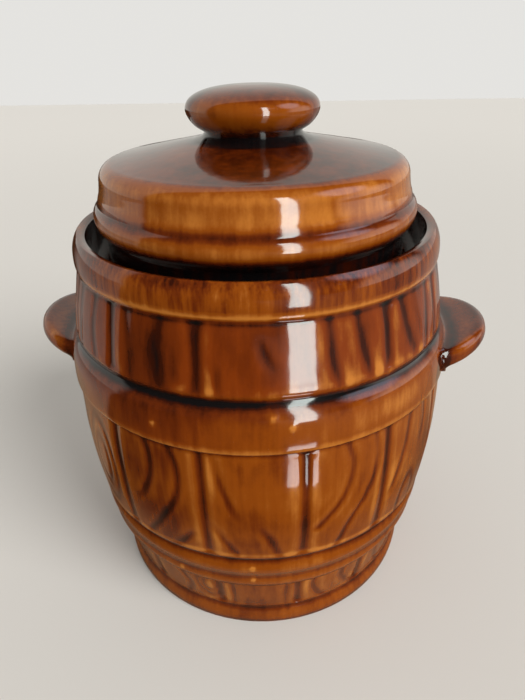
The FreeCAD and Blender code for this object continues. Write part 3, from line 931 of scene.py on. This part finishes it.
def feed(tree, socket, value):
    """Link a socket to another one, or set its value."""
    if isinstance(value, bpy.types.NodeSocket):
        tree.links.new(value, socket)
    else:
        socket.default_value = value


def add_node(tree, kind, output, inputs=None, **settings):
    """A new node's output, once the node has its settings and its inputs."""
    node = tree.nodes.new("ShaderNode" + kind)
    for name, value in settings.items():
        setattr(node, name, value)
    for name, value in (inputs or {}).items():
        feed(tree, node.inputs[name], value)
    return node.outputs[output]


def calculate(tree, operation, first, second):
    return add_node(tree, "Math", 0, {0: first, 1: second}, operation=operation)


def opposite(tree, share):
    return calculate(tree, "SUBTRACT", 1.0, share)


def mix_colour(tree, factor, first, second):
    """A mix of two colours. A plain colour has three numbers."""
    first, second = (value if isinstance(value, bpy.types.NodeSocket) else (*value, 1)
                     for value in (first, second))
    return add_node(tree, "Mix", 2, {0: factor, 6: first, 7: second}, data_type="RGBA")


def step_node(tree, value, low, high):
    return add_node(tree, "MapRange", "Result", {"Value": value, "From Min": low, "From Max": high},
                    interpolation_type="SMOOTHSTEP")


def towards(tree, vector, direction):
    """How far a vector goes in a direction."""
    return add_node(tree, "VectorMath", "Value", {0: vector, 1: direction}, operation="DOT_PRODUCT")


def object_place(tree):
    return add_node(tree, "TexCoord", "Object")


def noise_node(tree, vector, scale, detail):
    return add_node(tree, "TexNoise", "Fac", {"Vector": vector, "Scale": scale, "Detail": detail})


def stretched_noise(tree, vector, scales, detail):
    stretched = add_node(tree, "Mapping", "Vector", {"Vector": vector, "Scale": scales})
    return noise_node(tree, stretched, 1, detail)


def bump_node(tree, height, strength, distance):
    return add_node(tree, "Bump", "Normal", {"Height": height, "Strength": strength, "Distance": distance})


def new_group(name, inputs, outputs):
    group = bpy.data.node_groups.new(name, "ShaderNodeTree")
    for label, kind, value in inputs:
        group.interface.new_socket(label, in_out="INPUT", socket_type=kind).default_value = value
    for label, kind in outputs:
        group.interface.new_socket(label, in_out="OUTPUT", socket_type=kind)
    return group, group.nodes.new("NodeGroupInput").outputs, group.nodes.new("NodeGroupOutput").inputs


def new_material(name):
    """A new material, its node tree and its shader."""
    material = bpy.data.materials.new(name)
    material.use_nodes = True
    return material, material.node_tree, material.node_tree.nodes["Principled BSDF"]


# ---- Materials ----

# Share of the clouds, patches, runs and specks in the glaze's thickness, and of the streaks on the rim.
CLOUD_SHARE = 0.46
PATCH_SHARE = 0.34
RUN_SHARE = 0.26
SPECK_SHARE = 0.08
STREAK_SHARE = 0.68
GLAZE_GLOSS = {"IOR": 1.5, "Coat Weight": 0.5, "Coat Roughness": 0.035, "Coat IOR": 1.5}
# Thicknesses between which each colour turns into the next one.
GLAZE_STEPS = (("Thick", 0.36, 0.64), ("Deep", 0.58, 0.86), ("Pooled", 0.84, 1.05))


def glaze_colour_group():
    """Colour of a glaze from how thick it lies, with clouds, runs and specks in its thickness."""
    colours = [(label, "NodeSocketColor", (0.5, 0.5, 0.5, 1)) for label in
               ("Thin", "Honey", "Thick", "Deep", "Pooled", "Red")]
    values = [(label, "NodeSocketFloat", value) for label, value in
              (("Thickness", 0.4), ("Redness", 0.0), ("Streaks", 0.0))]
    group, given, result = new_group("Glaze Colour", values + colours, [("Color", "NodeSocketColor")])
    place = object_place(group)
    depth = given["Thickness"]
    for noise, share in ((noise_node(group, place, 38, 3), CLOUD_SHARE),
                         (stretched_noise(group, place, (130, 130, 42), 3), PATCH_SHARE),
                         (stretched_noise(group, place, (420, 420, 26), 2), RUN_SHARE),
                         (noise_node(group, place, 900, 2), SPECK_SHARE)):
        swing = calculate(group, "SUBTRACT", noise, 0.5)
        depth = calculate(group, "ADD", depth, calculate(group, "MULTIPLY", swing, share))
    swing = calculate(group, "SUBTRACT", stretched_noise(group, place, (520, 520, 40), 4), 0.5)
    swing = calculate(group, "MULTIPLY", swing, STREAK_SHARE)
    depth = calculate(group, "ADD", depth, calculate(group, "MULTIPLY", swing, given["Streaks"]))
    even = mix_colour(group, given["Redness"], given["Honey"], given["Red"])
    shade = mix_colour(group, step_node(group, depth, 0.0, 0.38), given["Thin"], even)
    for label, low, high in GLAZE_STEPS:
        shade = mix_colour(group, step_node(group, depth, low, high), shade, given[label])
    feed(group, result["Color"], shade)
    return group


def glaze_skin_group():
    """Roughness and fine height of a glaze: an orange-peel surface with dust and pinholes."""
    group, given, result = new_group(
        "Glaze Skin", [("Peel Scale", "NodeSocketFloat", 160.0)],
        [("Roughness", "NodeSocketFloat"), ("Height", "NodeSocketFloat")])
    place = object_place(group)
    dust = step_node(group, noise_node(group, place, 1400, 2), 0.62, 0.8)
    rough = calculate(group, "ADD", 0.10, calculate(group, "MULTIPLY", dust, 0.2))
    feed(group, result["Roughness"], rough)
    feed(group, result["Height"], noise_node(group, place, given["Peel Scale"], 1))
    return group


def glaze_material(name, colours):
    """Glossy glaze over carved clay, coloured by the thickness written on the mesh."""
    material, tree, shader = new_material(name)
    for socket, value in GLAZE_GLOSS.items():
        shader.inputs[socket].default_value = value
    shades = {"Thin": colours.thin, "Honey": colours.honey, "Thick": colours.chestnut, "Deep": colours.umber,
              "Pooled": colours.pooled, "Red": colours.red}
    inputs = {label: (*shade, 1) for label, shade in shades.items()}
    for attribute, label in (("glaze", "Thickness"), ("blush", "Redness"), ("rim", "Streaks")):
        inputs[label] = add_node(tree, "Attribute", "Fac", attribute_name=attribute)
    paint = add_node(tree, "Group", "Color", inputs, node_tree=shared("Glaze Colour", glaze_colour_group))
    skin = add_node(tree, "Group", "Roughness", node_tree=shared("Glaze Skin", glaze_skin_group))
    feed(tree, shader.inputs["Base Color"], paint)
    feed(tree, shader.inputs["Roughness"], skin)
    feed(tree, shader.inputs["Normal"], bump_node(tree, skin.node.outputs["Height"], 0.06, 1.0 * MM))
    return material


def clay_material(colours):
    """Bare stoneware with a gritty surface."""
    material, tree, shader = new_material("bare_clay")
    shader.inputs["Roughness"].default_value = 0.9
    grit = noise_node(tree, object_place(tree), 700, 3)
    dark = [0.6 * part for part in colours.clay]
    feed(tree, shader.inputs["Base Color"], mix_colour(tree, grit, dark, colours.clay))
    feed(tree, shader.inputs["Normal"], bump_node(tree, grit, 0.4, 0.4 * MM))
    return material


def shared(name, make, *given):
    """A material or node group that is made once."""
    return bpy.data.node_groups.get(name) or bpy.data.materials.get(name) or make(*given)


def dress(piece, material, clay, bare):
    """Smooth shading and materials. Faces for which bare is true show unglazed clay."""
    mesh = piece.data
    mesh.materials.clear()
    mesh.materials.append(material)
    mesh.materials.append(clay)
    centres = np.empty(len(mesh.polygons) * 3)
    mesh.polygons.foreach_get("center", centres)
    mesh.polygons.foreach_set("material_index", bare(centres.reshape(-1, 3)).astype(np.int32))
    mesh.shade_smooth()
    mesh.set_sharp_from_angle(angle=math.radians(50))
    mesh.update()


def bare_foot(centres):
    """Faces of the pot that stand on the floor or lie inside the foot ring."""
    low, inside = centres[:, 2], np.hypot(centres[:, 0], centres[:, 1]) < FOOT_RING_INNER
    return (low < 0.7 * MM) | ((low < 4 * MM) & inside)


def bare_skirt(centres):
    return centres[:, 2] < GUTTER_FLOOR + SKIRT_CHAMFER


# ---- Stage ----

# The room as the glaze shows it: directions towards its back wall, the far side of the floor, its right
# wall and the sky, and its colours.
BACK_WALL = (-0.375, 0.927, 0)
FAR_SIDE = (-0.283, 0.959, 0)
RIGHT_WALL = (0.998, 0.03, -0.05)
SKY = (0.80, -0.15, 0.58)
DARK_ROOM = (0.035, 0.03, 0.025)
BACK_WALL_COLOUR = (0.62, 0.60, 0.55)
RIGHT_WALL_COLOUR = (1.2, 1.15, 1.07)
SKY_COLOUR = (1.4, 1.6, 1.95)
FAR_BOARD = (0.36, 0.325, 0.295)
EVEN_TINT = (1.0, 0.985, 0.96)
BACKGROUND = (0.78, 0.77, 0.745)
# What the floor adds to its lit colour in plain view, near and far.
NEAR_GLOW = (0.06, 0.059, 0.056)
FAR_GLOW = (0.12, 0.118, 0.112)
FLOOR_HALF = 3.0

KEY_PLACE = (1.1, -0.76, 0.9)
KEY_SOFTNESS = math.radians(34)
WINDOW_PLACE = (0.29, -0.553, 0.42)
WINDOW_TARGET = (0, 0, 0.42)
WINDOW_SIZE = (0.118, 0.84)
WINDOW_TINT = (0.9, 1.0, 0.96)
LOW_CARD_PLACE = (0.096, -0.211, 0.004)
LOW_CARD_TARGET = (0.05, -0.1, 0.115)
LOW_CARD_SIZE = (0.056, 0.066)
LOW_CARD_SHARE = 0.018

CAMERA_PLACE = (0.0286, -0.2635, 0.2757)
CAMERA_BEARING = math.radians(5.8)
CAMERA_PITCH = math.radians(30.06)
CAMERA_ROLL = math.radians(1.39)
CAMERA_LENS = 27.05


def floor_material(settings):
    """Plain floor. Glossy surfaces show it darker and warmer, except close by and at the two sides."""
    material, tree, shader = new_material("stage_floor")
    place = object_place(tree)
    reach = add_node(tree, "VectorMath", "Value", {0: place}, operation="LENGTH")
    unit = add_node(tree, "VectorMath", "Vector", {0: place}, operation="NORMALIZE")
    far_side = step_node(tree, towards(tree, place, FAR_SIDE), 0.015, 0.035)
    behind = step_node(tree, towards(tree, unit, FAR_SIDE), 0.72, 0.86)
    at_sides = calculate(tree, "MULTIPLY", far_side, opposite(tree, behind))
    right = calculate(tree, "MULTIPLY", step_node(tree, towards(tree, place, (1, 0, 0)), 0.05, 0.30), 0.5)
    close_by = calculate(tree, "MULTIPLY", opposite(tree, step_node(tree, reach, 0.11, 0.17)), 0.6)
    paler = calculate(tree, "MAXIMUM", calculate(tree, "MAXIMUM", at_sides, right), close_by)
    board = mix_colour(tree, step_node(tree, reach, 0.25, 0.40), settings.board, FAR_BOARD)
    mirrored = mix_colour(tree, paler, settings.reflected, board)
    glossy = add_node(tree, "LightPath", "Is Glossy Ray")
    feed(tree, shader.inputs["Base Color"], mix_colour(tree, glossy, settings.floor, mirrored))
    glow = mix_colour(tree, step_node(tree, reach, 0.2, 2.2), NEAR_GLOW, FAR_GLOW)
    seen = mix_colour(tree, glossy.node.outputs["Is Camera Ray"], (0, 0, 0), glow)
    feed(tree, shader.inputs["Emission Color"], seen)
    shader.inputs["Emission Strength"].default_value = 1.0
    shader.inputs["Specular IOR Level"].default_value = 0.0
    return material


def build_world(strength):
    """Even light, with a pale background and, in reflections, a pale wall behind a darker room."""
    world = bpy.data.worlds.new("stage")
    bpy.context.scene.world = world
    world.use_nodes = True
    tree = world.node_tree
    direction = add_node(tree, "TexCoord", "Generated")
    room = DARK_ROOM
    for middle, low, high, shade in ((BACK_WALL, 0.10, 0.20, BACK_WALL_COLOUR),
                                     (RIGHT_WALL, 0.84, 0.97, RIGHT_WALL_COLOUR),
                                     (SKY, 0.93, 0.985, SKY_COLOUR)):
        room = mix_colour(tree, step_node(tree, towards(tree, direction, middle), low, high), room, shade)
    glossy = add_node(tree, "LightPath", "Is Glossy Ray")
    shade = mix_colour(tree, glossy, [strength * part for part in EVEN_TINT], room)
    shade = mix_colour(tree, glossy.node.outputs["Is Camera Ray"], shade, BACKGROUND)
    feed(tree, tree.nodes["Background"].inputs["Color"], shade)


def aim_lamp(name, data, place, target):
    lamp = bpy.data.objects.new(name, data)
    lamp.location = place
    lamp.rotation_euler = (Vector(target) - Vector(place)).to_track_quat("-Z", "Y").to_euler()
    bpy.context.scene.collection.objects.link(lamp)
    return lamp


def mirrored_card(name, place, target, size, power, tint):
    """A bright card that only glossy surfaces show."""
    data = bpy.data.lights.new(name, "AREA")
    data.shape = "RECTANGLE"
    data.size, data.size_y = size
    data.energy = power
    data.color = tint
    aim_lamp(name, data, place, target).visible_diffuse = False


def soft_sun(name, place, strength):
    """Even light from one side, with soft shadows and no bright spot of its own in the glaze."""
    data = bpy.data.lights.new(name, "SUN")
    data.energy = strength
    data.angle = KEY_SOFTNESS
    aim_lamp(name, data, place, (0, 0, 0)).visible_glossy = False


def build_camera():
    data = bpy.data.cameras.new("camera")
    data.lens = CAMERA_LENS
    data.sensor_width = 36
    data.clip_start = 0.01
    camera = bpy.data.objects.new("camera", data)
    turn = (Matrix.Rotation(CAMERA_BEARING, 3, "Z") @ Matrix.Rotation(math.radians(90) - CAMERA_PITCH, 3, "X")
            @ Matrix.Rotation(-CAMERA_ROLL, 3, "Z"))
    camera.matrix_world = Matrix.Translation(CAMERA_PLACE) @ turn.to_4x4()
    bpy.context.scene.collection.objects.link(camera)
    return camera


# ---- Add-on ----

class CROCK_OT_pot(bpy.types.Operator):
    """Build the carved pot with its ears and gutter"""
    bl_idname = "crock.pot"
    bl_label = "Pot"

    def execute(self, context):
        colours = context.scene.crock_glaze
        pot = build_pot(context.scene.crock_sizes)
        paint_pot(pot.data)
        clay = shared("bare_clay", clay_material, colours)
        dress(pot, glaze_material("pot_glaze", colours), clay, bare_foot)
        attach(pot, BODY)
        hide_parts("pot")
        return {"FINISHED"}


class CROCK_OT_lid(bpy.types.Operator):
    """Build the lid with its knob"""
    bl_idname = "crock.lid"
    bl_label = "Lid"

    def execute(self, context):
        colours = context.scene.crock_glaze
        lid = build_lid(context.scene.crock_sizes)
        paint_lid(lid.data)
        clay = shared("bare_clay", clay_material, colours)
        dress(lid, glaze_material("lid_glaze", colours), clay, bare_skirt)
        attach(lid, BODY)
        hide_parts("lid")
        return {"FINISHED"}


class CROCK_OT_stage(bpy.types.Operator):
    """Set up the floor, the lamps, the world and the camera"""
    bl_idname = "crock.stage"
    bl_label = "Stage"

    def execute(self, context):
        settings = context.scene.crock_stage
        mesh = bpy.data.meshes.new("stage_floor")
        corners = [(x * FLOOR_HALF, y * FLOOR_HALF, 0) for x, y in ((-1, -1), (1, -1), (1, 1), (-1, 1))]
        mesh.from_pydata(corners, [], [(0, 1, 2, 3)])
        floor = link_piece("stage_floor", mesh)
        mesh.materials.append(floor_material(settings))
        build_world(settings.light)
        soft_sun("key_light", KEY_PLACE, settings.key)
        mirrored_card("window_card", WINDOW_PLACE, WINDOW_TARGET, WINDOW_SIZE, settings.window, WINDOW_TINT)
        mirrored_card("low_card", LOW_CARD_PLACE, LOW_CARD_TARGET, LOW_CARD_SIZE,
                      LOW_CARD_SHARE * settings.window, (1, 1, 1))
        context.scene.camera = build_camera()
        context.scene.view_settings.view_transform = "Standard"
        return {"FINISHED"}


class CROCK_PT_panel(bpy.types.Panel):
    """Lists the crock's pieces, sizes and colours"""
    bl_label = "Fermentation Crock"
    bl_idname = "CROCK_PT_panel"
    bl_space_type = "VIEW_3D"
    bl_region_type = "UI"
    bl_category = "Crock"

    def draw(self, context):
        for operator in OPERATORS:
            self.layout.operator(operator.bl_idname)
        for settings in (context.scene.crock_sizes, context.scene.crock_glaze, context.scene.crock_stage):
            for name in settings.__annotations__:
                self.layout.prop(settings, name)


OPERATORS = (CROCK_OT_stage, CROCK_OT_pot, CROCK_OT_lid)
CLASSES = (CrockSizes, GlazeColours, StageSettings) + OPERATORS + (CROCK_PT_panel,)


def register():
    for item in CLASSES:
        bpy.utils.register_class(item)
    bpy.types.Scene.crock_sizes = bpy.props.PointerProperty(type=CrockSizes)
    bpy.types.Scene.crock_glaze = bpy.props.PointerProperty(type=GlazeColours)
    bpy.types.Scene.crock_stage = bpy.props.PointerProperty(type=StageSettings)


def unregister():
    del bpy.types.Scene.crock_stage
    del bpy.types.Scene.crock_glaze
    del bpy.types.Scene.crock_sizes
    for item in reversed(CLASSES):
        bpy.utils.unregister_class(item)


def main():
    register()
    bpy.ops.crock.stage()
    bpy.ops.crock.pot()
    bpy.ops.crock.lid()


if __name__ == "__main__":
    main()
